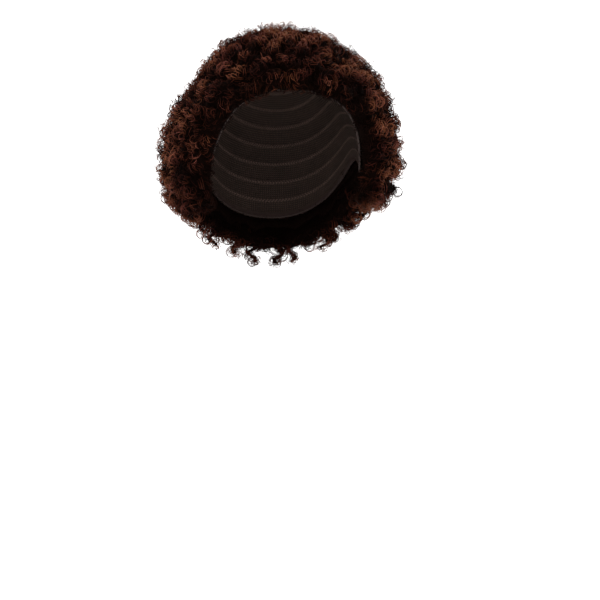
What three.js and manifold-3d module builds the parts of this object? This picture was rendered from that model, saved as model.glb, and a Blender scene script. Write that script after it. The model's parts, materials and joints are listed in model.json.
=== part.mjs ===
// Afro wig of short, tight curls: a stretch cap that fits the head, and rings of curled-hair
// wefts that circle the crown and follow the cap's edge, as the wig stands when it is worn.
// Millimetres, +Z up. The face looks along -Y and the wearer's left side is at +X.
// The origin is the point inside the crown that rests on top of the head.
import * as THREE from 'three';
import { mergeVertices } from 'three/addons/utils/BufferGeometryUtils.js';
import Module from 'manifold-3d';

// The head that the wig is made for
const HEAD_WIDTH = 152;
const HEAD_LENGTH = 190;
const CROWN_HEIGHT = 90; // top of the head above its widest level
const NAPE_DROP = 108; // reach of the lower half of the head's form below that level
const HEAD_FULLNESS = 2.2; // 2 is an ellipsoid, and more is squarer

// Stretch cap
const CAP_WALL = 1.5;
const CAP_COLUMNS = 36; // facets round the cap
const CAP_ROWS = 6; // facets from the crown to the edge

// Hair
const HAIR_DEPTH = 41; // from the head to the curls' tips beside the ears
const EDGE_DEPTH = 7; // the same at the very edge of the hair
const LOCK_PITCH = 26; // from one lock of curls to the next along a weft
const LOCK_RELIEF = 9; // how far a lock stands proud of the grooves round it
const LOCK_SWAY = 0.3; // how far the groove between two wefts wanders, as a share of their pitch
const WEFT_RINGS = 11; // the whorl on the crown and the wefts round it
const WHORL_TILT = 35; // degrees that the whorl leans back from the top of the head
const SEAT_GAP = 0.3; // between the cap and the wefts
const WEFT_GAP = 0.45; // between one weft's hair and the next

// Ringlets that hang below the hair's edge, from behind one ear to behind the other
const RINGLETS = 12;
const RINGLET_REACH = 66; // angle around, to each side of the nape, of the outermost ones
const RINGLET_RADIUS = 4.2; // of the coil, to the middle of its lock
const RINGLET_THICKNESS = 5.8; // of the lock that is coiled
const RINGLET_TURNS = 1.3;
const RINGLET_HANG = 15; // from the end that is in the weft to the free end
const RINGLET_ROOT = 5; // degrees from the hair's edge back to the end that is in the weft

// Edges of the cap and of the hair, as degrees away from the whorl's axis, with the hair's on
// the wearer's left and right. Around is the angle about that axis: 0 is the front, 90 the
// cheek, and 180 the nape. Roll is how far from its edge the hair begins to round over.
const EDGES = [
  { place: 'forehead', around: 0, cap: 94, left: 96.5, right: 96.5, roll: 13 },
  { place: 'brow', around: 33, cap: 98, left: 101, right: 101, roll: 13 },
  { place: 'temple', around: 51, cap: 107, left: 110, right: 110, roll: 14 },
  { place: 'cheekbone', around: 66, cap: 115, left: 121, right: 121, roll: 15 },
  { place: 'ear tab', around: 80, cap: 118, left: 130, right: 133, roll: 16 },
  { place: 'front of ear', around: 90, cap: 104, left: 130, right: 138, roll: 17 },
  { place: 'top of ear', around: 100, cap: 89, left: 123, right: 136, roll: 17 },
  { place: 'ear lobe', around: 120, cap: 88, left: 114, right: 121, roll: 18 },
  { place: 'behind ear', around: 142, cap: 94, left: 115, right: 115, roll: 20 },
  { place: 'neck', around: 160, cap: 97, left: 117, right: 117, roll: 22 },
  { place: 'nape', around: 180, cap: 98, left: 118, right: 118, roll: 24 },
];

// Depth of the hair as shares of HAIR_DEPTH, at angles down from the top of the head
const DEPTHS = [
  { down: 0, front: 0.585, left: 0.585, right: 0.585, back: 0.585 },
  { down: 30, front: 0.57, left: 0.64, right: 0.63, back: 0.68 },
  { down: 60, front: 0.55, left: 0.82, right: 0.62, back: 0.84 },
  { down: 90, front: 0.58, left: 1, right: 0.99, back: 0.92 },
  { down: 120, front: 0.6, left: 0.96, right: 1.01, back: 0.8 },
  { down: 150, front: 0.6, left: 0.8, right: 0.72, back: 0.6 },
  { down: 180, front: 0.6, left: 0.7, right: 0.7, back: 0.5 },
];

const CENTRE = new THREE.Vector3(0, 0, -CROWN_HEIGHT);
const { degToRad, radToDeg } = THREE.MathUtils;
const TILT = degToRad(WHORL_TILT);
const WHORL = new THREE.Vector3(0, Math.sin(TILT), Math.cos(TILT));
const FRONTWARD = new THREE.Vector3(0, -Math.cos(TILT), Math.sin(TILT));
const SIDEWARD = new THREE.Vector3(1, 0, 0);

// A smooth curve through one column of a table.
function column(table, at, value) {
  const places = table.map((row) => row[at]);
  const curve = new THREE.CubicInterpolant(places, table.map((row) => row[value]), 1);
  return (x) => curve.evaluate(x)[0];
}

const capColumn = column(EDGES, 'around', 'cap');
const rollColumn = column(EDGES, 'around', 'roll');
const leftEdge = column(EDGES, 'around', 'left');
const rightEdge = column(EDGES, 'around', 'right');
const frontDepth = column(DEPTHS, 'down', 'front');
const leftDepth = column(DEPTHS, 'down', 'left');
const rightDepth = column(DEPTHS, 'down', 'right');
const backDepth = column(DEPTHS, 'down', 'back');

// Repeatable scatter between -1 and 1.
function scatter(ring, index, use) {
  const wave = Math.sin(ring * 127.1 + index * 311.7 + use * 74.7) * 43758.5453;
  return 2 * (wave - Math.floor(wave)) - 1;
}

// The table runs from front to nape, and around goes on from the nape up the wearer's right.
function onWearersRight(around) {
  return ((around % 360) + 360) % 360 > 180;
}

function frontToNape(around) {
  const turn = ((around % 360) + 360) % 360;
  return turn > 180 ? 360 - turn : turn;
}

const capEdge = (around) => capColumn(frontToNape(around));
const edgeRoll = (around) => rollColumn(frontToNape(around));

function hairEdge(around) {
  return (onWearersRight(around) ? rightEdge : leftEdge)(frontToNape(around));
}

function direction(away, around) {
  const a = degToRad(away);
  const t = degToRad(around);
  return WHORL.clone().multiplyScalar(Math.cos(a))
    .addScaledVector(FRONTWARD, Math.sin(a) * Math.cos(t))
    .addScaledVector(SIDEWARD, Math.sin(a) * Math.sin(t));
}

function headRadius(d) {
  const height = d.z > 0 ? CROWN_HEIGHT : NAPE_DROP;
  const sum = Math.abs(2 * d.x / HEAD_WIDTH) ** HEAD_FULLNESS
    + Math.abs(2 * d.y / HEAD_LENGTH) ** HEAD_FULLNESS
    + Math.abs(d.z / height) ** HEAD_FULLNESS;
  return sum ** (-1 / HEAD_FULLNESS);
}

// Hair depth away from the edges, blended round the head from front to side to back.
function fullDepth(d) {
  const down = radToDeg(Math.acos(THREE.MathUtils.clamp(d.z, -1, 1)));
  const flat = d.x * d.x + d.y * d.y || 1;
  const lengthwise = d.y < 0 ? frontDepth(down) : backDepth(down);
  const sideways = d.x < 0 ? rightDepth(down) : leftDepth(down);
  return HAIR_DEPTH * (sideways * d.x * d.x + lengthwise * d.y * d.y) / flat;
}

// Hair depth near the edge, where the curls round over to the skin.
function hairDepth(away, around) {
  const inside = THREE.MathUtils.clamp((hairEdge(around) - away) / edgeRoll(around), 0, 1);
  const round = Math.sqrt(1 - (1 - inside) ** 2);
  const full = fullDepth(direction(away, around));
  return EDGE_DEPTH + (full - EDGE_DEPTH) * round;
}

function point(away, around, radius) {
  return direction(away, around).multiplyScalar(radius).add(CENTRE);
}

// Angle away from the whorl of a line that lies at a share of the way to the hair's edge.
const lineAt = (share) => (around) => share * hairEdge(around);

// Angles that split a ring into equal lengths along the hair's surface.
function evenAngles(share, wanted, offset) {
  const steps = 180;
  const away = lineAt(share);
  const places = [];
  let length = 0;
  let before = null;
  for (let i = 0; i <= steps; i++) {
    const around = i * 360 / steps;
    const d = direction(away(around), around);
    const here = d.clone().multiplyScalar(headRadius(d) + fullDepth(d));
    length += before ? here.distanceTo(before) : 0;
    before = here;
    places.push({ around, length });
  }
  const count = Math.max(4, Math.round(length / wanted));
  const angles = [];
  for (let k = 0; k < count; k++) {
    const goal = (k + offset) * length / count;
    const next = places.findIndex((p) => p.length > goal);
    const [a, b] = [places[next - 1], places[next]];
    angles.push(a.around + (b.around - a.around) * (goal - a.length) / (b.length - a.length));
  }
  return angles;
}

// The groove between two rings of hair, which both of them use.
function groove(border) {
  if (border === 0) return [{ around: 0, away: 0 }];
  const share = border / WEFT_RINGS;
  const angles = evenAngles(share, LOCK_PITCH / 2, 0.25);
  const step = 360 / angles.length;
  const sway = (border === WEFT_RINGS ? 0.4 : 1) * LOCK_SWAY / WEFT_RINGS;
  return angles.map((angle, k) => {
    const around = angle + 0.2 * step * scatter(border, k, 1);
    return { around, away: lineAt(share + sway * scatter(border, k, 2))(around) };
  });
}

const GROOVES = Array.from({ length: WEFT_RINGS + 1 }, (_, border) => groove(border));

// Angle away from the whorl of a groove, at any angle around it.
function grooveAt(border, around) {
  const line = GROOVES[border];
  if (line.length === 1) return 0;
  const turn = ((around - line[0].around) % 360 + 360) % 360 + line[0].around;
  const next = line.findIndex((p) => p.around > turn);
  const after = next < 0 ? { around: line[0].around + 360, away: line[0].away } : line[next];
  const before = next < 0 ? line[line.length - 1] : line[next - 1];
  const part = (turn - before.around) / (after.around - before.around);
  return before.away + (after.away - before.away) * part;
}

// Radius of a weft's inner face: clear of the cap where the flat facets sag towards it.
function seatRadius(away, around) {
  const radius = headRadius(direction(away, around)) + CAP_WALL + SEAT_GAP;
  const facet = degToRad(hairEdge(around) / WEFT_RINGS) * (1 + 2 * LOCK_SWAY);
  const along = LOCK_PITCH / 2 / radius;
  return radius * (2 - Math.cos(facet / 2) * Math.cos(along / 2));
}

// Four stations on each lock: the groove before it, its near flank, its crown, its far flank.
const LOCK_STATIONS = [
  { at: 0, rise: 0.05 },
  { at: 0.27, rise: 0.88 },
  { at: 0.52, rise: 1 },
  { at: 0.77, rise: 0.72 },
];
// Three lines along each weft, as shares of its width.
const LOCK_LINES = [
  { across: 0.22, rise: 0.78, lean: 0.08 },
  { across: 0.52, rise: 1, lean: 0 },
  { across: 0.8, rise: 0.7, lean: -0.08 },
];

// One line of a ring's locks over the outer surface.
function lockLine(ring, angles, line) {
  const points = [];
  angles.forEach((angle, k) => {
    const next = k + 1 < angles.length ? angles[k + 1] : angles[0] + 360;
    const width = next - angle;
    const size = 1 + 0.25 * scatter(ring, k, 3);
    const hand = scatter(ring, k, 4) > 0 ? 1 : -1;
    for (const station of LOCK_STATIONS) {
      const around = angle + width * (station.at + hand * line.lean
        + 0.04 * scatter(ring, k, 5 + station.at));
      const across = line.across + 0.05 * scatter(ring, k, 7 + station.at + line.across);
      const [above, below] = [grooveAt(ring, around), grooveAt(ring + 1, around)];
      const away = above + (below - above) * across;
      const rise = size * line.rise * station.rise;
      points.push({ around, away, sunk: LOCK_RELIEF * (1 - rise) });
    }
  });
  return points;
}

function outerPoint({ away, around, sunk }) {
  const radius = headRadius(direction(away, around)) + hairDepth(away, around) - sunk;
  return point(away, around, Math.max(radius, seatRadius(away, around) + EDGE_DEPTH / 2));
}

const innerPoint = ({ away, around }) => point(away, around, seatRadius(away, around));

// Collects closed loops of points and joins each to the next with triangles.
function skin(loops) {
  const positions = [];
  const index = [];
  const rows = loops.map((loop) => loop.map(({ around, at }) => {
    positions.push(at.x, at.y, at.z);
    return { around, id: positions.length / 3 - 1 };
  }));
  rows.slice(0, -1).forEach((upper, r) => joinLoops(upper, rows[r + 1], index));
  const geometry = new THREE.BufferGeometry();
  geometry.setAttribute('position', new THREE.Float32BufferAttribute(positions, 3));
  geometry.setIndex(index);
  return geometry;
}

function joinLoops(upper, lower, index) {
  const [n, m] = [upper.length, lower.length];
  const angleOf = (loop, i) => loop[i % loop.length].around + (i >= loop.length ? 360 : 0);
  const idOf = (loop, i) => loop[i % loop.length].id;
  let [i, j] = [0, 0];
  const [lastUpper, lastLower] = [n > 1 ? n : 0, m > 1 ? m : 0];
  while (i < lastUpper || j < lastLower) {
    const upperNext = i < lastUpper ? angleOf(upper, i + 1) : Infinity;
    const lowerNext = j < lastLower ? angleOf(lower, j + 1) : Infinity;
    if (upperNext <= lowerNext) {
      index.push(idOf(upper, i), idOf(lower, j), idOf(upper, i + 1));
      i += 1;
    } else {
      index.push(idOf(upper, i), idOf(lower, j), idOf(lower, j + 1));
      j += 1;
    }
  }
}

// A groove moved half a gap into the ring that is being made.
function side(border, towards) {
  return GROOVES[border].map(({ around, away }) => {
    if (border === 0) return { around, away, sunk: 0 };
    const shift = radToDeg(WEFT_GAP / 2 / headRadius(direction(away, around)));
    const open = border === WEFT_RINGS ? 0 : 1;
    return { around, away: away + towards * shift, sunk: open * LOCK_RELIEF };
  });
}

function weftGeometry(ring) {
  const angles = evenAngles((ring + 0.5) / WEFT_RINGS, LOCK_PITCH, ring % 2 ? 0 : 0.5);
  const upper = side(ring, 1);
  const lower = side(ring + 1, -1);
  const lines = LOCK_LINES.map((line) => lockLine(ring, angles, line));
  const outer = [upper, ...lines, lower];
  const inner = [lower, upper];
  const loops = [
    ...outer.map((loop) => loop.map((p) => ({ around: p.around, at: outerPoint(p) }))),
    ...inner.map((loop) => loop.map((p) => ({ around: p.around, at: innerPoint(p) }))),
  ];
  if (ring > 0) loops.push(loops[0]);
  return skin(loops);
}

function capGeometry() {
  const loopAt = (share, offset) => Array.from({ length: CAP_COLUMNS }, (_, k) => {
    const around = k * 360 / CAP_COLUMNS;
    const away = share * capEdge(around);
    const radius = headRadius(direction(away, around)) + offset;
    return { around, at: point(away, around, radius) };
  });
  const pole = (offset) => [{ around: 0, at: point(0, 0, headRadius(WHORL) + offset) }];
  const shares = Array.from({ length: CAP_ROWS }, (_, r) => (r + 1) / CAP_ROWS);
  return skin([
    pole(CAP_WALL),
    ...shares.map((share) => loopAt(share, CAP_WALL)),
    ...shares.toReversed().map((share) => loopAt(share, 0)),
    pole(0),
  ]);
}

// A coil that hangs straight down from its root, with the first turn's middle at one side.
class Coil extends THREE.Curve {
  constructor(root, bearing, hand, size) {
    super();
    Object.assign(this, { root, bearing, hand, size });
  }

  getPoint(t, target = new THREE.Vector3()) {
    const turn = this.bearing + this.hand * 2 * Math.PI * RINGLET_TURNS * t;
    const radius = RINGLET_RADIUS * this.size;
    return target.set(
      this.root.x + radius * (Math.cos(turn) - Math.cos(this.bearing)),
      this.root.y + radius * (Math.sin(turn) - Math.sin(this.bearing)),
      this.root.z - RINGLET_HANG * this.size * t,
    );
  }
}

const RINGLET_SIDES = 5;
const RINGLET_STEPS = 8;

function ringletGeometry(k) {
  const spread = 2 * k / (RINGLETS - 1) - 1;
  const around = 180 + RINGLET_REACH * spread + 2 * scatter(20, k, 1);
  const away = hairEdge(around) - RINGLET_ROOT;
  const middle = (seatRadius(away, around) + headRadius(direction(away, around))
    + hairDepth(away, around)) / 2;
  const root = point(away, around, middle);
  const size = 1 + 0.12 * scatter(20, k, 2);
  const hand = k % 2 ? 1 : -1;
  const bearing = Math.atan2(root.y, root.x) + Math.PI / 2 * hand;
  const profile = new THREE.Shape(Array.from({ length: RINGLET_SIDES }, (_, i) => {
    const turn = i * 2 * Math.PI / RINGLET_SIDES;
    return new THREE.Vector2(Math.cos(turn), Math.sin(turn)).multiplyScalar(RINGLET_THICKNESS / 2);
  }));
  return new THREE.ExtrudeGeometry(profile, {
    steps: RINGLET_STEPS,
    bevelEnabled: false,
    extrudePath: new Coil(root, bearing, hand, size),
  });
}

const wasm = await Module();
wasm.setup();

function toSolid(geometry) {
  const bare = geometry.clone();
  bare.deleteAttribute('normal');
  bare.deleteAttribute('uv');
  const merged = mergeVertices(bare, 1e-4);
  return new wasm.Manifold(new wasm.Mesh({
    numProp: 3,
    vertProperties: merged.attributes.position.array,
    triVerts: new Uint32Array(merged.index.array),
  }));
}

// The last weft and its ringlets as one solid.
function rimGeometry() {
  const parts = [weftGeometry(WEFT_RINGS - 1)];
  for (let k = 0; k < RINGLETS; k++) parts.push(ringletGeometry(k));
  const fused = wasm.Manifold.union(parts.map(toSolid)).getMesh();
  const geometry = new THREE.BufferGeometry();
  geometry.setAttribute('position', new THREE.BufferAttribute(fused.vertProperties, 3));
  geometry.setIndex(new THREE.BufferAttribute(fused.triVerts, 1));
  return geometry;
}

const capNet = new THREE.MeshStandardMaterial({ color: 0x1b1210, roughness: 0.85, metalness: 0 });
const auburnHair = new THREE.MeshStandardMaterial({ color: 0x3a1a12, roughness: 0.5, metalness: 0 });

const wig = new THREE.Group();

function addPiece(name, geometry, material) {
  const mesh = new THREE.Mesh(geometry, material);
  mesh.name = name;
  wig.add(mesh);
  return mesh;
}

addPiece('cap', capGeometry(), capNet);
addPiece('crown_whorl', weftGeometry(0), auburnHair);
for (let ring = 1; ring < WEFT_RINGS; ring++) {
  const rim = ring === WEFT_RINGS - 1;
  const name = `weft_${String(ring).padStart(2, '0')}`;
  addPiece(name, rim ? rimGeometry() : weftGeometry(ring), auburnHair);
}

export default wig;
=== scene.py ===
"""Afro wig of short, tight, dark auburn curls on a stretch cap, in the form it has when worn.

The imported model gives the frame: a cap, a whorl on the crown and ten rings of wefts. Here the
cap becomes a fine knitted shell, and each ring of hair is covered in coiled strands.
Metres, +Z up. The front is at -Y and the wearer's left side at +X.
"""
import json
import math

import bmesh
import bpy
import numpy as np
from mathutils import Matrix, Vector
from mathutils.bvhtree import BVHTree
from mathutils.kdtree import KDTree

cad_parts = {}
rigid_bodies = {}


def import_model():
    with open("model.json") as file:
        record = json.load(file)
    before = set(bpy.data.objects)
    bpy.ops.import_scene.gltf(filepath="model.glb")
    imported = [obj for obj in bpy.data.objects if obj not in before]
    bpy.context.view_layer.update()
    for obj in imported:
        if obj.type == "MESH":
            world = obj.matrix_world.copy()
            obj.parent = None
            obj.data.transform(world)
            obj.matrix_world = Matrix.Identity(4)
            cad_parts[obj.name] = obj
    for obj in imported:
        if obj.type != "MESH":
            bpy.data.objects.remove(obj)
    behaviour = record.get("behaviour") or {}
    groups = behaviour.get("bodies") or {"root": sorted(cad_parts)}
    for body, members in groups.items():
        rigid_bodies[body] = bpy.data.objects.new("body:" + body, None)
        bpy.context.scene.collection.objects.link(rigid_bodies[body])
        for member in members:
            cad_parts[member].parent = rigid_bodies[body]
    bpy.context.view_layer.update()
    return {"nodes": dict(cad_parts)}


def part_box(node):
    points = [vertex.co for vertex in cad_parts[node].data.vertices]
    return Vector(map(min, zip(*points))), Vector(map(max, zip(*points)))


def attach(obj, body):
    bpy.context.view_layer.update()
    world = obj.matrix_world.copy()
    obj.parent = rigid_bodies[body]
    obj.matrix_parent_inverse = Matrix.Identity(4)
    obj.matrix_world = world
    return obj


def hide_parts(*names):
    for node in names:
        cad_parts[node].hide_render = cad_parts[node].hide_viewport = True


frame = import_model()


# Stretch cap
# A close cap of dark knitted net that the hair is sewn to. Its edge is turned and bound, and
# the rows of stitching that hold the wefts run round it as low ridges.
CAP_WALL = 0.0015
CAP_ARC = 0.2  # length from the whorl to the cap's edge
HOLLOW_CENTRE = Vector((0, 0, -0.09))  # level with the cap's widest part
HOLLOW_LENGTH = 0.19
HOLLOW_REACH = 0.1  # mean distance from the centre to the cap
HOLLOW_FULLNESS = 2.2  # an ellipsoid has 2, and a fuller form more
NAPE_DROP = 0.108
WHORL_TILT = math.radians(35)
CAP_COLUMNS = 120
CORNER_ROUNDING = 6  # degrees over which corners of the edge are eased
STITCH_ROWS = 9
STITCH_WIDTH = 0.0016
STITCH_RISE = 0.0005
PLAIN_CROWN = 0.06  # share of the way down that has no stitching
BINDING_WIDTH = 0.007
BINDING_RISE = 0.0006
BINDING_SOFTNESS = 0.0006
CROWN_LINES = (0.015, 0.035)  # first mesh rows, as shares of the way down
RIDGE_LINES = (-1.6, -0.6, 0.6, 1.6)  # mesh rows beside a ridge, in its widths
BINDING_LINES = (1.2, 1.05, 0.95, 0.8, 0.4, 0.12, 0)  # mesh rows at the edge, in its widths
KNIT_PITCH = 0.0022
KNIT_RELIEF = 0.0006
WEAR_SCALE = 45.0
NET_COLOURS = ((0.011, 0.007, 0.005, 1), (0.075, 0.046, 0.036, 1))  # gaps and yarn
TAPE_COLOURS = ((0.020, 0.012, 0.010, 1), (0.140, 0.090, 0.072, 1))  # gaps and thread
BINDING_COLOUR = (0.030, 0.018, 0.015, 1)

WHORL = Vector((0, math.sin(WHORL_TILT), math.cos(WHORL_TILT)))
FRONTWARD = Vector((0, -math.cos(WHORL_TILT), math.sin(WHORL_TILT)))


def hollow_direction(away, around):
    """Unit vector at an angle away from the whorl and around it, 0 at the front."""
    out = WHORL * math.cos(away) + FRONTWARD * (math.sin(away) * math.cos(around))
    out.x += math.sin(away) * math.sin(around)
    return out


def hollow_angles(place):
    """(away, around, radius) of a place, the reverse of hollow_direction."""
    reach = Vector(place) - HOLLOW_CENTRE
    away = math.acos(max(-1, min(1, reach.dot(WHORL) / reach.length)))
    return away, math.atan2(reach.x, reach.dot(FRONTWARD)), reach.length


def merged_copy(name, *nodes):
    """One mesh object from CAD nodes, with the loose triangles joined."""
    shape = bmesh.new()
    for node in nodes:
        shape.from_mesh(frame["nodes"][node].data)
    bmesh.ops.remove_doubles(shape, verts=shape.verts, dist=1e-6)
    mesh = bpy.data.meshes.new(name)
    shape.to_mesh(mesh)
    shape.free()
    copy = bpy.data.objects.new(name, mesh)
    bpy.context.scene.collection.objects.link(copy)
    return copy


def drop(thing):
    bpy.data.objects.remove(thing, do_unlink=True)


def cap_profile():
    """The cap's edge as an angle away from the whorl, and the hollow's size, from its solid."""
    solid = merged_copy("cap_solid", "cap")
    found = {}
    for vertex in solid.data.vertices:
        away, around, _ = hollow_angles(vertex.co)
        column = round(math.degrees(around), 1) % 360
        found[column] = max(found.get(column, 0), away)
    drop(solid)
    low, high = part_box("cap")
    half = Vector(((high.x - low.x) / 2 - CAP_WALL, 0, -HOLLOW_CENTRE.z))
    return sorted(found.items()), half


cap_columns, hollow_half = cap_profile()
cap_turns = np.array([column - 360 for column, _ in cap_columns]
                     + [column for column, _ in cap_columns]
                     + [column + 360 for column, _ in cap_columns])
cap_edges = np.array([edge for _, edge in cap_columns] * 3)


def cap_edge(around):
    """Angle of the cap's edge, rounded over where the solid has corners."""
    turn = math.degrees(around) % 360
    near = np.linspace(turn - CORNER_ROUNDING, turn + CORNER_ROUNDING, 7)
    return float(np.interp(near, cap_turns, cap_edges).mean())


def hollow_radius(d):
    """Distance from the hollow's centre to its wall in a direction."""
    height = hollow_half.z if d.z > 0 else NAPE_DROP
    total = (abs(d.x / hollow_half.x) ** HOLLOW_FULLNESS
             + abs(2 * d.y / HOLLOW_LENGTH) ** HOLLOW_FULLNESS
             + abs(d.z / height) ** HOLLOW_FULLNESS)
    return total ** (-1 / HOLLOW_FULLNESS)


def cap_point(share, around, wall):
    """A point of the inner wall at 0 or the outer wall at 1, with ridges and binding."""
    edge = cap_edge(around)
    away = share * edge
    d = hollow_direction(away, around)
    radius = hollow_radius(d)
    step = edge / STITCH_ROWS
    from_row = (away / step - round(away / step)) * step * radius
    rise = STITCH_RISE * math.exp(-(from_row / STITCH_WIDTH) ** 2) * (share >= PLAIN_CROWN)
    from_edge = (edge - away) * radius
    bound = 1 / (1 + math.exp((from_edge - BINDING_WIDTH) / BINDING_SOFTNESS))
    rise = rise * (1 - bound) + BINDING_RISE * bound
    return HOLLOW_CENTRE + d * (radius - rise * (1 - wall) + CAP_WALL * wall)


def cap_shares():
    """Rows from crown to edge, close together at each ridge of stitching and at the binding."""
    ridges = [row / STITCH_ROWS + line * STITCH_WIDTH / CAP_ARC
              for row in range(1, STITCH_ROWS) for line in RIDGE_LINES]
    between = [(row + 0.5) / STITCH_ROWS for row in range(STITCH_ROWS - 1)]
    binding = [1 - line * BINDING_WIDTH / CAP_ARC for line in BINDING_LINES]
    return sorted([*CROWN_LINES, *ridges, *between, *binding])


def net_cap():
    """The cap as one closed shell, with a map of its length and way round in metres."""
    shape = bmesh.new()
    map_of = shape.loops.layers.uv.new("Knit")
    shares = cap_shares()
    turns = [2 * math.pi * column / CAP_COLUMNS for column in range(CAP_COLUMNS)]
    rims = []
    for wall in (0, 1):
        rows = [[shape.verts.new(cap_point(share, turn, wall)) for turn in turns]
                for share in shares]
        pole = shape.verts.new(cap_point(0, 0, wall))
        corners = [[(pole, 0, k), (rows[0][k], shares[0], k),
                    (rows[0][(k + 1) % CAP_COLUMNS], shares[0], k + 1)]
                   for k in range(CAP_COLUMNS)]
        for above, upper, below, lower in zip(shares, rows, shares[1:], rows[1:]):
            for k in range(CAP_COLUMNS):
                after = (k + 1) % CAP_COLUMNS
                corners.append([(upper[k], above, k), (lower[k], below, k),
                                (lower[after], below, k + 1), (upper[after], above, k + 1)])
        for face_corners in corners:
            face = shape.faces.new([corner[0] for corner in face_corners])
            for loop, (_, share, column) in zip(face.loops, face_corners):
                loop[map_of].uv = knit_place(share, column)
        rims.append(rows[-1])
    for k in range(CAP_COLUMNS):
        after = (k + 1) % CAP_COLUMNS
        face = shape.faces.new([rims[0][k], rims[0][after], rims[1][after], rims[1][k]])
        for loop, column in zip(face.loops, (k, k + 1, k + 1, k)):
            loop[map_of].uv = knit_place(1, column)
    for face in shape.faces:
        face.smooth = True
    bmesh.ops.recalc_face_normals(shape, faces=shape.faces)
    mesh = bpy.data.meshes.new("net_cap")
    shape.to_mesh(mesh)
    shape.free()
    mark_tracks(mesh)
    cap = bpy.data.objects.new("net_cap", mesh)
    bpy.context.scene.collection.objects.link(cap)
    return cap


def mark_tracks(mesh):
    """Store where the stitched tracks and the binding run, for the material."""
    track = mesh.attributes.new("track", "FLOAT", "POINT")
    binding = mesh.attributes.new("binding", "FLOAT", "POINT")
    for vertex in mesh.vertices:
        away, around, _ = hollow_angles(vertex.co)
        share = away / cap_edge(around)
        from_track = abs(share * STITCH_ROWS - round(share * STITCH_ROWS)) / STITCH_ROWS
        on_track = from_track < STITCH_WIDTH / CAP_ARC and share > PLAIN_CROWN
        track.data[vertex.index].value = float(on_track)
        binding.data[vertex.index].value = float(share > 1 - BINDING_WIDTH / CAP_ARC)


def knit_place(share, column):
    """Place on the map: metres round the cap and metres down from the crown."""
    around = 2 * math.pi * column / CAP_COLUMNS
    return around * HOLLOW_REACH, share * cap_edge(around) * HOLLOW_REACH


class Wire:
    """An output of a node. Arithmetic on it adds Math nodes, or Vector Math for vectors."""

    def __init__(self, graph, socket):
        self.graph = graph
        self.socket = socket

    def _with(self, operation, first, second=None):
        sides = [side for side in (first, second) if isinstance(side, Wire)]
        vector = any(side.socket.type in ("VECTOR", "RGBA") for side in sides)
        kind = "ShaderNodeVectorMath" if vector else "ShaderNodeMath"
        values = {0: first} if second is None else {0: first, 1: second}
        return self.graph.add(kind, {"operation": operation}, values)

    def __add__(self, other):
        return self._with("ADD", self, other)

    def __radd__(self, other):
        return self._with("ADD", other, self)

    def __sub__(self, other):
        return self._with("SUBTRACT", self, other)

    def __rsub__(self, other):
        return self._with("SUBTRACT", other, self)

    def __mul__(self, other):
        return self._with("MULTIPLY", self, other)

    def __rmul__(self, other):
        return self._with("MULTIPLY", other, self)

    def __truediv__(self, other):
        return self._with("DIVIDE", self, other)

    def __pow__(self, other):
        return self._with("POWER", self, other)

    def __lt__(self, other):
        return self._with("LESS_THAN", self, other)

    def __gt__(self, other):
        return self._with("GREATER_THAN", self, other)

    def lower_of(self, other):
        return self._with("MINIMUM", self, other)

    def upper_of(self, other):
        return self._with("MAXIMUM", self, other)

    def sine(self):
        return self._with("SINE", self)

    def floor(self):
        return self._with("FLOOR", self)

    def unit(self):
        return self._with("NORMALIZE", self)

    def cross(self, other):
        return self._with("CROSS_PRODUCT", self, other)

    def clamped(self):
        """The value kept between 0 and 1."""
        return self.lower_of(1.0).upper_of(0.0)

    def ramp(self, start, span):
        """0 at the start and 1 at a span from it, which may be negative."""
        return ((self - start) / span).clamped()

    def part(self, axis):
        """X, Y or Z of a vector."""
        return self.graph.add("ShaderNodeSeparateXYZ", {}, {"Vector": self}, axis)


class Graph:
    """A node tree in the making."""

    def __init__(self, tree):
        self.tree = tree

    def add(self, kind, settings=None, values=None, output=None):
        """A new node: its type, its settings, the values or links of its sockets."""
        node = self.tree.nodes.new(kind)
        for name, value in (settings or {}).items():
            if name == "stops":
                self._stops(node.color_ramp, value)
            else:
                setattr(node, name, value)
        for key, value in (values or {}).items():
            self._feed(self._socket(node.inputs, key), value)
        return Wire(self, self._socket(node.outputs, output))

    def mix(self, factor, first, second, blend="MIX"):
        """Two colours mixed."""
        return self.add("ShaderNodeMix", {"data_type": "RGBA", "blend_type": blend},
                        {"Factor": factor, "A": first, "B": second})

    def end(self, kind, wire):
        """The tree's output node, fed by a wire."""
        output = self.tree.nodes.new(kind)
        self.tree.links.new(wire.socket, output.inputs[0])

    def _socket(self, sockets, key):
        if isinstance(key, int):
            return sockets[key]
        usable = [socket for socket in sockets if socket.enabled]
        if key is None:
            return usable[0]
        return next(socket for socket in usable if socket.name == key)

    def _feed(self, socket, value):
        if isinstance(value, (list, tuple)) and value and isinstance(value[0], Wire):
            for wire in value:
                self.tree.links.new(wire.socket, socket)
        elif isinstance(value, Wire):
            self.tree.links.new(value.socket, socket)
        elif socket.type == "VECTOR" and isinstance(value, (int, float)):
            socket.default_value = (value, value, value)
        else:
            socket.default_value = value

    def _stops(self, ramp, stops):
        while len(ramp.elements) < len(stops):
            ramp.elements.new(0.5)
        for element, (place, colour) in zip(ramp.elements, stops):
            element.position = place
            element.color = (*colour, 1)


def new_material(name):
    material = bpy.data.materials.new(name)
    material.use_nodes = True
    material.node_tree.nodes.clear()
    return material, Graph(material.node_tree)


def finish_material(graph, values):
    graph.end("ShaderNodeOutputMaterial", graph.add("ShaderNodeBsdfPrincipled", {}, values))


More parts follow.
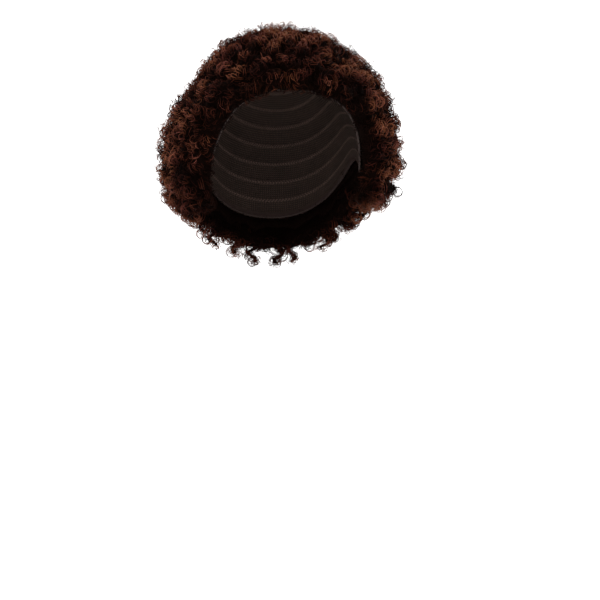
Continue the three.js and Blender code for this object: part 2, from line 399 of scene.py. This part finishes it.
def knitted_net():
    """Dark brown net with lighter stitched tracks, and a satin binding round its edge."""
    material, graph = new_material("cap_net")
    place = graph.add("ShaderNodeUVMap", {"uv_map": "Knit"})
    across = place.part("X") * (2 * math.pi / KNIT_PITCH)
    down = place.part("Y") * (2 * math.pi / KNIT_PITCH)
    mesh = (across.sine() * 0.5 + 0.5) * (down.sine() * 0.5 + 0.5)
    zigzag = (across * 0.7 + (down * 0.5).sine() * 2.0).sine() * 0.5 + 0.5
    track = graph.add("ShaderNodeAttribute", {"attribute_name": "track"}, {}, "Fac")
    binding = graph.add("ShaderNodeAttribute", {"attribute_name": "binding"}, {}, "Fac")
    spot = graph.add("ShaderNodeTexCoord", {}, {}, "Object")
    wear = graph.add("ShaderNodeTexNoise", {}, {
        "Vector": spot, "Scale": WEAR_SCALE, "Detail": 3.0})
    net = graph.mix(mesh * 0.7 + wear * 0.3, *NET_COLOURS)
    tape = graph.mix(zigzag, *TAPE_COLOURS)
    colour = graph.mix(binding, graph.mix(track * 0.75, net, tape), BINDING_COLOUR)
    height = mesh * (1 - binding) + zigzag * track
    bump = graph.add("ShaderNodeBump", {}, {
        "Height": height, "Strength": 0.6, "Distance": KNIT_RELIEF})
    finish_material(graph, {
        "Base Color": colour,
        "Roughness": 0.8 + wear * 0.15 - binding * 0.35,
        "Specular IOR Level": 0.2,
        "Normal": bump,
    })
    return material


cap = net_cap()
cap.data.materials.append(knitted_net())
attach(cap, "root")
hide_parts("cap")


# Curled hair
# Rings of synthetic fibre, each sewn along the cap as a weft. The fibre is set in tight coils
# a few millimetres across, which tangle into locks. Colour is dark auburn; painted shade makes
# it nearly black between the locks, and painted light makes it redder where the coils reach the
# light.
HAIR_NODES = ["crown_whorl"] + [f"weft_{ring:02d}" for ring in range(1, 11)]
SEED_STEP = 100
POINT_DENSITY = 150000.0  # places tried on a square metre of skin
STRAND_THICKNESS = 0.0003  # radius of one strand of fibres
STRAND_END = 0.35  # thickness at a strand's ends by that at its middle
RUFFLE_SCALE = 170.0  # small bends in the curls, per metre
CURL_SPACING = 0.0050
CURL_RADIUS = 0.0037
LEAST_RADIUS = 0.0013
RIM_RADIUS = 0.0009  # added to the least radius at the cap's edge
ROOM_FILLED = 0.46  # greatest radius of a curl by the depth of hair at its place
DEEP_HAIR = 0.02  # hair at least this deep shows the full relief of its locks
HEIGHT_SPREAD = (-0.0014, 0.0012)
COIL_POINTS = 7  # in a turn
COIL_KINDS = (  # turns, length and end radius by start radius, and whether it has a twin
    (1.5, 2.6, 0.8, True), (2.0, 3.6, 1.0, True), (2.3, 4.2, 0.75, False),
    (1.8, 3.4, 0.9, True), (2.1, 3.0, 0.6, True))
COIL_TWIN = ((0.15, -0.1, 0.36), (0.1, 0.14, 0.5), (0.84, 0.94, 1))  # offset, turn, scale
COIL_STYLE = {"spacing": "Curl spacing", "sizes": (0.65, 1.25), "rise": 0.0014,
              "stray": 0.5, "ruffle": 1.8, "draw": 0}
HOOK = (7, 0.85, 0.75, 0.7)  # points in a turn, turns, end radius and length by start radius
HOOK_SPACING = 0.0054
HOOK_STYLE = {"spacing": "Hook spacing", "sizes": (0.7, 1.5), "rise": 0.0018,
              "stray": 0.8, "ruffle": 1.4, "draw": 20}
RING = (11, 2.1, 0.66, 0.7)
RING_TWIN = ((0.05, 0.04, 0.22), (0.06, 0.08, 0.9), (0.93, 0.9, 1))
RING_SPACING = 0.0085
RING_RADII = (0.0045, 0.0068)
RING_HEIGHTS = (-0.5, 0.3)  # by the ring's radius
RING_LEVEL = -0.125  # rings crowd the edge below this height
RING_FACING = -0.25  # and where the skin faces down more than this
RING_SHARE = 0.05  # of the rings, elsewhere
RING_ROOM = 0.009  # no rings where the hair is thinner than this
FLYAWAY = (9, 0.8, 0.6, 1.2)
FLYAWAY_SPACING = 0.0088
FLYAWAY_THICKNESS = 0.00017
FLYAWAY_RADII = (0.0035, 0.0062)
FLYAWAY_HEIGHTS = (-0.75, 0.1)
FLYAWAY_ROOM = 0.015
LOCK_SIZE = 0.021
LOCK_BEND = 0.014
LOCK_BEND_SCALE = 55.0
LOCK_EDGE = 3.6  # how steeply a lock falls to its edge
LOCK_VALLEY = 0.0022
LOCK_RELIEF = 0.008
CREST_RISE = 0.005
CREST_REACH = 0.024
CREST_NEIGHBOURS = 4  # fewer around a vertex say nothing about crests
PLAIN_CREST = 0.35
SKIN_HEIGHT = 0.006
SKIN_LIFT = 0.00005
SKIN_HIDDEN = 0.0032  # a face with a neighbour nearer than this grows nothing
OPENING_LIGHT = (0.002, 0.01)  # depth of hair that catches light at the opening, and its span
RIM_DEPTH = 0.005  # curls stand over the cap's edge where the hair is thinner than this
SINK = 0.0044  # the mass in painted shade under the coils, below their tips
SINK_SHARE = 0.42  # of the depth of hair, at most
SKIN_PULL = 0.65  # how much of the sinking goes straight in from the skin, away from seams
SEAM = (0.0006, 0.003)  # gap to a neighbour where the seam ends, and the span to open skin
TAIL_LEVEL = -0.172  # hair hangs free of the cap below this height
TAIL_SPAN = 0.012
MASS_ACROSS = (0.05, 0.2)  # place of the mass in painted shade on the hair's map, and its scale
MASS_ALONG = (0.88, 4)
STRANDS_ACROSS = (0.11, 0.87)  # place of the strands on the map, by their shade
STRAND_SIDES = 70  # the way round a strand takes one part in this many of the map
BAND_MARGIN = 0.02  # of each fibre's band on the map
PATCH_SCALE = 30.0  # patches of painted light and shade, per metre
PATCH_CONTRAST = 2.6
PATCH_START = (13.2, 6.5, 11.2)  # where in the noise the patches begin
FIBRE_TINTS = (  # a blend of plum brown, auburn and golden brown fibres, plum in painted shade and golden in painted light
    (1.0, 0.96, 1.2), (1.0, 1.0, 1.0), (1.0, 1.08, 0.88))
FIBRE_DRAW = (0.5, 2.4)
FIBRE_PATCHES = 4  # how strongly a patch of painted light and shade keeps to one fibre
HAIR_COLOURS = (  # from painted shade in the gaps to painted light on the crests
    (0.0, (0.0022, 0.0009, 0.0007)),
    (0.2, (0.0110, 0.0035, 0.0023)),
    (0.5, (0.048, 0.0120, 0.0068)),
    (1.0, (0.185, 0.059, 0.034)))
STREAK_SCALE = 900.0
SHELTER = (0.001, 0.024)  # depth under the outline where painted shade starts, and its span
EDGE_SHADE = 0.011
STRAND_SHADE = 0.004
OPENING_FRONT = 0.02  # the front opening lies before this place
OPENING_TOP = -0.05
OPENING_SPAN = 0.03
OPENING_EDGE = (1.8, 0.008)  # thin hair at the edge counts as beside the opening
OPENING_SIDE = (0.064, 0.026)  # half width of the shade beside the opening, and its span
OPENING_LOW = (-0.11, -0.02)  # top of that shade, and its span downwards


def skin_places():
    """Every place on the outside of the hair, with its height above the cap."""
    cap_tree = BVHTree.FromObject(cap_solid, bpy.context.evaluated_depsgraph_get())
    places = []
    for node in HAIR_NODES:
        solid = merged_copy(node + "_skin", node)
        for vertex in solid.data.vertices:
            height = cap_tree.find_nearest(vertex.co)[3]
            if height > SKIN_HEIGHT:
                places.append((vertex.co.copy(), height))
        drop(solid)
    return cap_tree, places


def mark_crests(solid):
    """Store on each vertex how far it stands above or below the hair around it, 0 to 1."""
    crest = solid.data.attributes.new("crest", "FLOAT", "POINT")
    for vertex in solid.data.vertices:
        height = cap_tree.find_nearest(vertex.co)[3]
        near = skin_tree.find_range(vertex.co, CREST_REACH)
        if height < SKIN_HEIGHT or len(near) < CREST_NEIGHBOURS:
            crest.data[vertex.index].value = PLAIN_CREST
            continue
        weights = [1 - (gap / CREST_REACH) ** 2 for _, _, gap in near]
        level = sum(w * skin[k][1] for w, (_, k, _) in zip(weights, near)) / sum(weights)
        crest.data[vertex.index].value = min(1, max(0, 0.5 + (height - level) / LOCK_RELIEF))


def group_input(tree, name, kind, value=None):
    socket = tree.interface.new_socket(name, in_out="INPUT", socket_type=kind)
    if value is not None:
        socket.default_value = value
    return socket.identifier


class CurlTree:
    """The tree that turns a ring's solid into a mass in painted shade, under coils and loose
    curls.
    """

    def __init__(self):
        tree = bpy.data.node_groups.new("curled_weft", "GeometryNodeTree")
        tree.interface.new_socket("Hair", in_out="OUTPUT", socket_type="NodeSocketGeometry")
        self.ids = {"Solid": group_input(tree, "Solid", "NodeSocketGeometry")}
        for name in ("Neighbours", "Cap"):
            self.ids[name] = group_input(tree, name, "NodeSocketObject")
        self.ids["Seed"] = group_input(tree, "Seed", "NodeSocketInt", 1)
        for name, value in (("Curl spacing", CURL_SPACING), ("Curl radius", CURL_RADIUS),
                            ("Strand thickness", STRAND_THICKNESS), ("Sink", SINK),
                            ("Hook spacing", HOOK_SPACING), ("Ring spacing", RING_SPACING),
                            ("Flyaway spacing", FLYAWAY_SPACING),
                            ("Flyaway thickness", FLYAWAY_THICKNESS)):
            self.ids[name] = group_input(tree, name, "NodeSocketFloat", value)
        self.ids["Hair colour"] = group_input(tree, "Hair colour", "NodeSocketMaterial")
        self.tree = tree
        self.graph = Graph(tree)
        source = tree.nodes.new("NodeGroupInput")
        self.given = {socket.name: Wire(self.graph, socket) for socket in source.outputs
                      if socket.name}
        self.build()

    def random(self, low, high, use):
        return self.graph.add("FunctionNodeRandomValue", {"data_type": "FLOAT"}, {
            "Min": low, "Max": high, "Seed": self.given["Seed"] + use})

    def random_vector(self, use):
        return self.graph.add("FunctionNodeRandomValue", {"data_type": "FLOAT_VECTOR"}, {
            "Min": (-1, -1, -1), "Max": (1, 1, 1), "Seed": self.given["Seed"] + use})

    def stored(self, geometry, name, value, kind="FLOAT", domain="POINT"):
        return self.graph.add("GeometryNodeStoreNamedAttribute",
                              {"data_type": kind, "domain": domain},
                              {"Geometry": geometry, "Name": name, "Value": value})

    def read(self, name, kind="FLOAT"):
        return self.graph.add("GeometryNodeInputNamedAttribute", {"data_type": kind},
                              {"Name": name})

    def object_shape(self, name):
        return self.graph.add("GeometryNodeObjectInfo", {}, {"Object": self.given[name]},
                              "Geometry")

    def distance_to(self, shape, output="Distance"):
        return self.graph.add("GeometryNodeProximity", {"target_element": "FACES"},
                              {"Geometry": shape}, output)

    def place(self):
        return self.graph.add("GeometryNodeInputPosition")

    def room(self):
        """Depth of hair over the cap."""
        return self.distance_to(self.cap_shape)

    def mass_in_painted_shade(self):
        """The solid drawn in from its surface and towards the cap, to lie under the coils in
        painted shade, near black.
        """
        graph = self.graph
        place = self.place()
        normal = graph.add("GeometryNodeInputNormal")
        nearest = self.distance_to(self.cap_shape, "Position")
        pull = (self.room() * SINK_SHARE).lower_of(self.given["Sink"])
        clear = self.distance_to(self.object_shape("Neighbours")).ramp(*SEAM)
        across = clear * (SKIN_PULL + (1 - SKIN_PULL) * self.hanging())
        inwards = (nearest - place).unit() * (1 - across) - normal * across
        moved = graph.add("GeometryNodeSetPosition", {}, {
            "Geometry": self.given["Solid"], "Offset": inwards.unit() * pull})
        # The mass is painted in full shade, near black.
        moved = self.stored(moved, "shade", 0.0)
        moved = self.stored(moved, "fibre", 1.0)
        start, scale = MASS_ALONG
        moved = self.stored(moved, "along", start + scale * place.part("Z"))
        start, scale = MASS_ACROSS
        return self.stored(moved, "across", start + scale * (place.part("X") + place.part("Y")))

    def hanging(self):
        """1 on the hair that hangs free below the cap."""
        return self.place().part("Z").ramp(TAIL_LEVEL, -TAIL_SPAN)

    def visible_skin(self):
        """The faces of the solid that no neighbour lies against."""
        graph = self.graph
        normal = graph.add("GeometryNodeInputNormal")
        hidden = graph.add("GeometryNodeRaycast", {}, {
            "Target Geometry": self.object_shape("Neighbours"),
            "Source Position": self.place() + normal * SKIN_LIFT,
            "Ray Direction": normal,
            "Ray Length": SKIN_HIDDEN,
        }, "Is Hit")
        smooth = self.stored(self.given["Solid"], "outward", normal, "FLOAT_VECTOR")
        return graph.add("GeometryNodeDeleteGeometry", {"domain": "FACE"},
                         {"Geometry": smooth, "Selection": hidden})

    def spiral(self, points, turns, end, length):
        """A coil that starts at a radius of 1."""
        return self.graph.add("GeometryNodeCurveSpiral", {}, {
            "Resolution": points, "Rotations": turns, "Start Radius": 1.0,
            "End Radius": end, "Height": length})

    def paired(self, coil, twin_place):
        """A coil with a second strand beside it."""
        offset, turn, scale = twin_place
        twin = self.graph.add("GeometryNodeTransform", {}, {
            "Geometry": coil, "Translation": offset, "Rotation": turn, "Scale": scale})
        return self.graph.add("GeometryNodeJoinGeometry", {}, {"Geometry": [twin, coil]})

    def whole(self, curve):
        return self.graph.add("GeometryNodeGeometryToInstance", {}, {"Geometry": curve})

    def coil_kinds(self):
        """Coils of several lengths, some of one strand and some of two side by side."""
        kinds = []
        for turns, length, end, has_twin in COIL_KINDS:
            coil = self.graph.add("GeometryNodeTransform", {}, {
                "Geometry": self.spiral(COIL_POINTS, turns, end, length),
                "Translation": (0, 0, -length / 2)})
            kinds.append(self.whole(self.paired(coil, COIL_TWIN) if has_twin else coil))
        return self.graph.add("GeometryNodeJoinGeometry", {}, {"Geometry": kinds[::-1]})

    def strands(self, curves, thickness):
        """Curves as closed three-sided strands that taper at both ends."""
        graph = self.graph
        along = graph.add("GeometryNodeSplineParameter", {}, {}, "Factor")
        marked = self.stored(curves, "along", along)
        bulge = (along * math.pi).sine().upper_of(0) ** 0.5
        profile = graph.add("GeometryNodeCurvePrimitiveCircle", {"mode": "RADIUS"},
                            {"Resolution": 3, "Radius": 1.0})
        way_round = graph.add("GeometryNodeSplineParameter", {}, {}, "Factor")
        marked_profile = self.stored(profile, "way_round", way_round)
        return graph.add("GeometryNodeCurveToMesh", {}, {
            "Curve": marked, "Profile Curve": marked_profile,
            "Scale": thickness * (STRAND_END + (1 - STRAND_END) * bulge), "Fill Caps": True})

    def locks(self):
        """The lock that a place belongs to: its random colour, and 1 at its middle."""
        graph = self.graph
        place = self.place()
        warp = graph.add("ShaderNodeTexNoise", {}, {
            "Vector": place, "Scale": LOCK_BEND_SCALE, "Detail": 1.0}, "Color")
        lock = {"Vector": place + (warp - (0.5, 0.5, 0.5)) * LOCK_BEND, "Scale": 1 / LOCK_SIZE}
        colour = graph.add("ShaderNodeTexVoronoi", {"feature": "F1"}, lock, "Color")
        to_edge = graph.add("ShaderNodeTexVoronoi", {"feature": "DISTANCE_TO_EDGE"}, lock)
        return colour, (to_edge * LOCK_EDGE).lower_of(1.0)

    def scattered(self, skin, spacing, use, share=1.0):
        return self.graph.add("GeometryNodeDistributePointsOnFaces",
                              {"distribute_method": "POISSON"}, {
                                  "Mesh": skin, "Distance Min": spacing,
                                  "Density Max": POINT_DENSITY, "Density Factor": share,
                                  "Seed": self.given["Seed"] + use})

    def grown(self, points, kinds, pick, radius, height, lie, tone, ruffle, use):
        """Curls on the points: their sizes, heights over the skin, axes and brightness, which
        holds painted light and shade.
        """
        graph = self.graph
        points = self.stored(points, "radius", radius)
        points = self.stored(points, "tone", tone.lower_of(1.0))
        points = self.stored(points, "lie", lie.unit(), "FLOAT_VECTOR")
        points = self.stored(points, "fibre", self.fibre(use + 2))
        moved = graph.add("GeometryNodeSetPosition", {}, {
            "Geometry": points, "Offset": self.outward() * height})
        spin = graph.add("FunctionNodeAxisAngleToRotation", {}, {
            "Axis": (0, 0, 1), "Angle": self.random(0.0, 2 * math.pi, use)})
        turned = graph.add("FunctionNodeAlignRotationToVector", {"axis": "Z"},
                           {"Rotation": spin, "Vector": self.read("lie", "FLOAT_VECTOR")})
        hand = graph.add("ShaderNodeCombineXYZ", {}, {
            "X": 1.0, "Y": (self.random(0.0, 1.0, use + 1) > 0.5) * 2 - 1, "Z": 1.0})
        placed = graph.add("GeometryNodeInstanceOnPoints", {}, {
            "Points": moved, "Instance": kinds, "Pick Instance": True, "Instance Index": pick,
            "Rotation": turned, "Scale": hand * self.read("radius")})
        curves = graph.add("GeometryNodeRealizeInstances", {}, {"Geometry": placed})
        ripple = graph.add("ShaderNodeTexNoise", {}, {
            "Vector": self.place(), "Scale": RUFFLE_SCALE, "Detail": 1.0}, "Color")
        return graph.add("GeometryNodeSetPosition", {}, {
            "Geometry": curves,
            "Offset": (ripple - (0.5, 0.5, 0.5)) * self.read("radius") * ruffle})

    def fibre(self, use):
        """Which fibre of the blend a curl is made of: 0, 1 or 2, leaning to plum in painted
        shade and golden in painted light.
        """
        level = self.patches() * FIBRE_PATCHES + self.random(*FIBRE_DRAW, use)
        return level.floor().lower_of(2.0).upper_of(0.0)

    def patches(self):
        """Patches of painted light and shade in the hair, above and below 0."""
        noise = self.graph.add("ShaderNodeTexNoise", {}, {
            "Vector": self.place() + PATCH_START, "Scale": PATCH_SCALE, "Detail": 2.0})
        return noise - 0.5

    def outward(self):
        return self.read("outward", "FLOAT_VECTOR").unit()

    def beside_opening(self, room):
        """1 on the hair beside the front opening: in front of the ears, or at the edge."""
        place = self.place()
        front = place.part("Y").ramp(OPENING_FRONT, -OPENING_SPAN)
        low = (OPENING_TOP - place.part("Z")) / OPENING_SPAN
        most, depth = OPENING_EDGE
        return front * low.upper_of(most - room / depth).clamped()

    def in_locks(self, skin, kinds, count, style):
        """Curls that fill the locks, painted bright on the crests and painted dark in the
        valleys.
        """
        draw = style["draw"]
        points = self.scattered(skin, self.given[style["spacing"]], draw)
        room = self.room()
        colour, crown = self.locks()
        crest = self.read("crest")
        # Painted light on the crests, on thin hair at the front opening and on the hair that
        # hangs free.
        open_side = room.ramp(*OPENING_LIGHT) * 0.6 * self.beside_opening(room)
        lit = crest.upper_of(open_side).upper_of(self.hanging() * 0.75)
        wanted = self.given["Curl radius"] * self.random(*style["sizes"], draw + 1)
        rim = (1 - room / RIM_DEPTH).upper_of(0.0)
        radius = wanted.lower_of(room * ROOM_FILLED).upper_of(LEAST_RADIUS + RIM_RADIUS * rim)
        swell = (crown - 1.0) * LOCK_VALLEY + (crest - 0.6) * CREST_RISE
        height = (style["rise"] - radius * (1 - 1.1 * rim) + swell * room.ramp(0, DEEP_HAIR)
                  + self.random(*HEIGHT_SPREAD, draw + 2))
        # Painted shade towards the edges of the locks, where the crown falls off.
        bright = (0.12 + 0.95 * lit) * (0.6 + 0.4 * crown)
        spread = 0.72 + 0.08 * self.random(0.0, 1.0, draw + 3) + 0.34 * colour.part("X")
        flow = self.outward().cross(colour - (0.5, 0.5, 0.5)).unit()
        lie = flow + self.random_vector(draw + 4) * style["stray"] + (0.0, 0.0, -0.25)
        pick = self.random(0.0, count - 0.01, draw + 5).floor()
        curves = self.grown(points, kinds, pick, radius, height, lie, bright * spread,
                            style["ruffle"], draw + 6)
        return self.strands(curves, self.given["Strand thickness"])

    def coils(self, skin):
        return self.in_locks(skin, self.coil_kinds(), len(COIL_KINDS), COIL_STYLE)

    def hooks(self, skin):
        """Short open curls that cross over the coils and hide where each one starts."""
        return self.in_locks(skin, self.whole(self.spiral(*HOOK)), 1, HOOK_STYLE)

    def where_deep(self, points, depth):
        """The points over hair of at least this depth."""
        return self.graph.add("GeometryNodeDeleteGeometry", {"domain": "POINT"},
                              {"Geometry": points, "Selection": self.room() < depth})

    def rings(self, skin):
        """Large flat coils that hang at the lower edge, and a few elsewhere."""
        low = (self.place().part("Z") < RING_LEVEL) * (self.outward().part("Z") < RING_FACING)
        points = self.scattered(skin, self.given["Ring spacing"], 40,
                                RING_SHARE + (1 - RING_SHARE) * low)
        kept = self.where_deep(points, RING_ROOM)
        ring = self.whole(self.paired(self.spiral(*RING), RING_TWIN))
        radius = self.random(*RING_RADII, 41).lower_of(self.room() * 0.5)
        height = radius * self.random(*RING_HEIGHTS, 42)
        lie = self.outward().cross((0.0, 0.0, 1.0)).unit() + self.random_vector(43) * 0.4
        tone = self.random(0.5, 0.9, 44)
        curves = self.grown(kept, ring, 0, radius, height, lie, tone, 1.0, 45)
        return self.strands(curves, self.given["Strand thickness"])

    def flyaways(self, skin):
        """Fine single loops that stand clear of the rest."""
        points = self.scattered(skin, self.given["Flyaway spacing"], 60)
        kept = self.where_deep(points, FLYAWAY_ROOM)
        radius = self.random(*FLYAWAY_RADII, 61)
        height = radius * self.random(*FLYAWAY_HEIGHTS, 62)
        lie = self.outward().cross(self.random_vector(63)).unit() + self.random_vector(64) * 0.3
        # Painted light, brighter on the crests.
        tone = (0.25 + 0.75 * self.read("crest")) * self.random(0.7, 1.1, 65)
        loop = self.whole(self.spiral(*FLYAWAY))
        curves = self.grown(kept, loop, 0, radius, height, lie, tone, 0.6, 66)
        return self.strands(curves, self.given["Flyaway thickness"])

    def shade(self, mass):
        """How light each place is painted: its tone, less the painted shade of what surrounds
        it.
        """
        ring_and_others = self.graph.add("GeometryNodeJoinGeometry", {}, {
            "Geometry": [self.object_shape("Neighbours"), self.given["Solid"]]})
        outline = self.graph.add("GeometryNodeConvexHull", {}, {"Geometry": ring_and_others})
        # Painted shade: deeper under the outline, near the cap's edge and close to the mass,
        # less on hanging hair.
        shelter = self.distance_to(outline).ramp(*SHELTER)
        room = self.room()
        edge = room.ramp(0, EDGE_SHADE)
        reach = self.distance_to(mass).ramp(0, STRAND_SHADE).upper_of(self.hanging() * 0.8)
        place = self.place()
        x = place.part("X")
        aside = x.upper_of(0 - x).ramp(*OPENING_SIDE)
        low = place.part("Z").ramp(*OPENING_LOW)
        beside = self.beside_opening(room)
        # Less painted shade under the outline beside the front opening, and more low down close
        # beside it.
        lift = (reach * (1 - 0.7 * shelter * (1 - 0.6 * beside)) * (0.25 + 0.75 * edge)
                * (1 - 0.85 * beside * low * (1 - aside)))
        # Patches of painted light and shade on top of the tone.
        tone = self.read("tone") + PATCH_CONTRAST * self.patches()
        return (lift * tone).clamped()

    def build(self):
        graph = self.graph
        self.cap_shape = self.object_shape("Cap")
        mass = self.mass_in_painted_shade()
        skin = self.visible_skin()
        strands = graph.add("GeometryNodeJoinGeometry", {},
                            {"Geometry": [self.flyaways(skin), self.rings(skin),
                                          self.hooks(skin), self.coils(skin)]})
        shaded = self.stored(strands, "shade", self.shade(mass))
        start, scale = STRANDS_ACROSS
        across = start + scale * self.read("shade") + self.read("way_round") / STRAND_SIDES
        shaded = self.stored(shaded, "across", across)
        hair = graph.add("GeometryNodeJoinGeometry", {}, {"Geometry": [mass, shaded]})
        along = BAND_MARGIN + (1 - 2 * BAND_MARGIN) * self.read("along")
        band = (self.read("fibre") + along) / len(FIBRE_TINTS)
        place = graph.add("ShaderNodeCombineXYZ", {}, {"X": self.read("across"), "Y": band})
        mapped = self.stored(hair, "OFBake", place, "FLOAT2", "CORNER")
        smooth = graph.add("GeometryNodeSetShadeSmooth", {}, {"Geometry": mapped})
        painted = graph.add("GeometryNodeSetMaterial", {},
                            {"Geometry": smooth, "Material": self.given["Hair colour"]})
        whole = graph.add("GeometryNodeRealizeInstances", {}, {"Geometry": painted})
        graph.end("NodeGroupOutput", whole)


def auburn_fibre():
    """Glossy synthetic fibre: painted shade near black at the roots and in the gaps, painted
    light auburn where coils catch the light.
    """
    material, graph = new_material("auburn_hair")
    shade = graph.add("ShaderNodeAttribute", {"attribute_name": "shade"}, {}, "Fac")
    spot = graph.add("ShaderNodeTexCoord", {}, {}, "Object")
    streaks = graph.add("ShaderNodeTexNoise", {}, {
        "Vector": spot, "Scale": STREAK_SCALE, "Detail": 1.0})
    colour = graph.add("ShaderNodeValToRGB", {"stops": HAIR_COLOURS},
                       {"Fac": shade * (0.8 + 0.4 * streaks)}, "Color")
    fibre = graph.add("ShaderNodeAttribute", {"attribute_name": "fibre"}, {}, "Fac")
    tint = graph.add("ShaderNodeValToRGB", {"stops": list(zip((0.0, 0.5, 1.0), FIBRE_TINTS))},
                     {"Fac": fibre * 0.5}, "Color")
    finish_material(graph, {
        "Base Color": graph.mix(1.0, colour, tint, "MULTIPLY"),
        "Roughness": 0.78 + 0.2 * streaks - 0.5 * shade,
        "Specular IOR Level": 0.05,
        "Specular Tint": (1.0, 0.5, 0.35, 1),
    })
    return material


hair_colour = auburn_fibre()
curls = CurlTree()


def plain_mesh(source, name):
    """The evaluated object as a mesh of its own, at the origin."""
    shown = source.evaluated_get(bpy.context.evaluated_depsgraph_get())
    mesh = bpy.data.meshes.new_from_object(shown)
    mesh.name = name
    piece = bpy.data.objects.new(name, mesh)
    bpy.context.scene.collection.objects.link(piece)
    return piece


cap_solid = merged_copy("cap_solid", "cap")
cap_tree, skin = skin_places()
skin_tree = KDTree(len(skin))
for number, (place, _) in enumerate(skin):
    skin_tree.insert(place, number)
skin_tree.balance()
for number, node in enumerate(HAIR_NODES):
    solid = merged_copy(node + "_solid", node)
    for polygon in solid.data.polygons:
        polygon.use_smooth = True
    mark_crests(solid)
    others = merged_copy(node + "_others", "cap", *[n for n in HAIR_NODES if n != node])
    growth = solid.modifiers.new("curls", "NODES")
    growth.node_group = curls.tree
    growth[curls.ids["Neighbours"]] = others
    growth[curls.ids["Cap"]] = cap_solid
    growth[curls.ids["Seed"]] = SEED_STEP * (number + 1)
    growth[curls.ids["Hair colour"]] = hair_colour
    growth[curls.ids["Curl spacing"]] = CURL_SPACING * 1
    bpy.context.view_layer.update()
    hair = plain_mesh(solid, node + "_curls")
    solid.modifiers.remove(growth)
    drop(solid)
    drop(others)
    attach(hair, "root")
    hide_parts(node)
drop(cap_solid)


# Floor
# A plain pale studio floor, about half a metre below the crown. It is clear from below, so
# that the inside of the cap can be looked at.
FLOOR_LEVEL = -0.493
FLOOR_REACH = 8.0
FLOOR_SIDES = 96
FLOOR_COLOUR = (0.8, 0.8, 0.8, 1)
FLOOR_GLOW = 0.8  # seen by the camera only


def studio_floor():
    shape = bmesh.new()
    bmesh.ops.create_circle(shape, cap_ends=True, segments=FLOOR_SIDES, radius=FLOOR_REACH,
                            matrix=Matrix.Translation((0, 0, FLOOR_LEVEL)))
    mesh = bpy.data.meshes.new("studio_floor")
    shape.to_mesh(mesh)
    shape.free()
    floor = bpy.data.objects.new("studio_floor", mesh)
    bpy.context.scene.collection.objects.link(floor)
    material, graph = new_material("pale_floor")
    paint = graph.add("ShaderNodeBsdfPrincipled", {}, {
        "Base Color": FLOOR_COLOUR, "Roughness": 0.8, "Specular IOR Level": 0.1,
        "Emission Color": graph.add("ShaderNodeLightPath", {}, {}, "Is Camera Ray"),
        "Emission Strength": FLOOR_GLOW})
    clear = graph.add("ShaderNodeBsdfTransparent")
    below = graph.add("ShaderNodeNewGeometry", {}, {}, "Backfacing")
    graph.end("ShaderNodeOutputMaterial",
              graph.add("ShaderNodeMixShader", {}, {0: below, 1: paint, 2: clear}))
    mesh.materials.append(material)
    return floor


studio_floor()


# Light and camera
# Soft lights on both sides and overhead, and the view of a person standing in front, a little
# to the wearer's right.
VIEW_DISTANCE = 2.0
VIEW_TURN = math.radians(-8.5)
VIEW_RISE = math.radians(-2)
VIEW_ROLL = math.radians(4)
VIEW_CLIP = (0.05, 30)
SENSOR_WIDTH = 36
PIXEL = 0.00096  # at the cap's distance
FRAME_PIXELS = 600
CENTRE_PIXEL = (281, 145)  # where the cap's centre lies in the frame
LIGHTS = (  # name, place, size and power
    ("key", (0.5, -1.5, 1.1), 1.4, 19),
    ("fill", (-1.3, -1.4, 0.4), 1.4, 9.5),
    ("rim_left", (-1.3, 0.4, 0.5), 0.8, 12),
    ("rim_right", (1.3, 0.4, 0.5), 0.8, 14),
    ("top", (0, 0.1, 1.6), 1.2, 12))
SKY_LEAST = 0.2
SKY_RISE = 0.46  # added from the lowest to the highest part of the sky
BACKDROP_GLOW = 1.2  # seen by the camera only


def area_light(name, place, size, power):
    data = bpy.data.lights.new(name, "AREA")
    data.shape = "DISK"
    data.size = size
    data.energy = power
    light = bpy.data.objects.new(name, data)
    bpy.context.scene.collection.objects.link(light)
    light.location = place
    light.rotation_euler = (HOLLOW_CENTRE - Vector(place)).to_track_quat("-Z", "Y").to_euler()


for light in LIGHTS:
    area_light(*light)

world = bpy.data.worlds.new("studio")
bpy.context.scene.world = world
world.use_nodes = True
world.node_tree.nodes.clear()
sky = Graph(world.node_tree)
seen = sky.add("ShaderNodeLightPath", {}, {}, "Is Camera Ray")
direction = sky.add("ShaderNodeTexCoord", {}, {}, "Generated")
glow = (direction.part("Z") * 0.5 + 0.5) * SKY_RISE + SKY_LEAST
backdrop = sky.add("ShaderNodeBackground", {}, {
    "Color": (1, 1, 1, 1), "Strength": glow + seen * BACKDROP_GLOW})
sky.end("ShaderNodeOutputWorld", backdrop)


def front_camera():
    data = bpy.data.cameras.new("view")
    data.sensor_width = SENSOR_WIDTH
    data.lens = data.sensor_width * VIEW_DISTANCE / (FRAME_PIXELS * PIXEL)
    data.clip_start, data.clip_end = VIEW_CLIP
    camera = bpy.data.objects.new("view", data)
    bpy.context.scene.collection.objects.link(camera)
    back = Vector((math.sin(VIEW_TURN) * math.cos(VIEW_RISE),
                   -math.cos(VIEW_TURN) * math.cos(VIEW_RISE), math.sin(VIEW_RISE)))
    eye = HOLLOW_CENTRE + back * VIEW_DISTANCE
    level = Vector((math.cos(VIEW_TURN), math.sin(VIEW_TURN), 0))
    upright = back.cross(level)
    right = level * math.cos(VIEW_ROLL) + upright * math.sin(VIEW_ROLL)
    up = upright * math.cos(VIEW_ROLL) - level * math.sin(VIEW_ROLL)
    half = FRAME_PIXELS / 2
    aim = (HOLLOW_CENTRE - right * (CENTRE_PIXEL[0] - half) * PIXEL
           - up * (half - CENTRE_PIXEL[1]) * PIXEL)
    z = (eye - aim).normalized()
    x = up.cross(z).normalized()
    y = z.cross(x)
    camera.matrix_world = Matrix((
        (x.x, y.x, z.x, eye.x), (x.y, y.y, z.y, eye.y), (x.z, y.z, z.z, eye.z), (0, 0, 0, 1)))
    bpy.context.scene.camera = camera


front_camera()
bpy.context.scene.view_settings.view_transform = "Standard"
